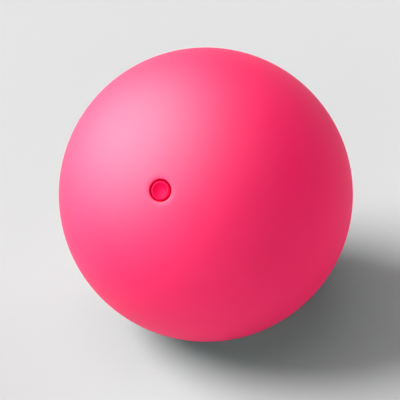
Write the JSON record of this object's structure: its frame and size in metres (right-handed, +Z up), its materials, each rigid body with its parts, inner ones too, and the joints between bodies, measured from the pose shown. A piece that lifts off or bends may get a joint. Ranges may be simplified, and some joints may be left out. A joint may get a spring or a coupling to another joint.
{
  "type": "bouncy ball",
  "caption": "Inflatable vinyl play ball with a recessed inflation valve and a push-in plug that pulls straight out.",
  "frame": {"origin": "middle of the small flat on the underside that the ball rests on", "axes": "+Z up, out of the resting flat and through the middle of the ball; the valve faces -Y and 32 degrees upwards; +X to the right as seen from the valve's side"},
  "size_m": [0.229, 0.229, 0.2285],
  "materials": {
    "skin_vinyl": "satin",
    "seat_vinyl": "satin",
    "plug_vinyl": "satin"
  },
  "bodies": {
    "ball": {"ball_skin": "skin_vinyl", "valve_seat": "seat_vinyl"},
    "plug": {"valve_plug": "plug_vinyl"}
  },
  "joints": [
    {"name": "plug_pull", "type": "slide", "parent": "ball", "child": "plug", "axis": [0, -0.848, 0.5299], "range_m": [0, 0.022]}
  ]
}
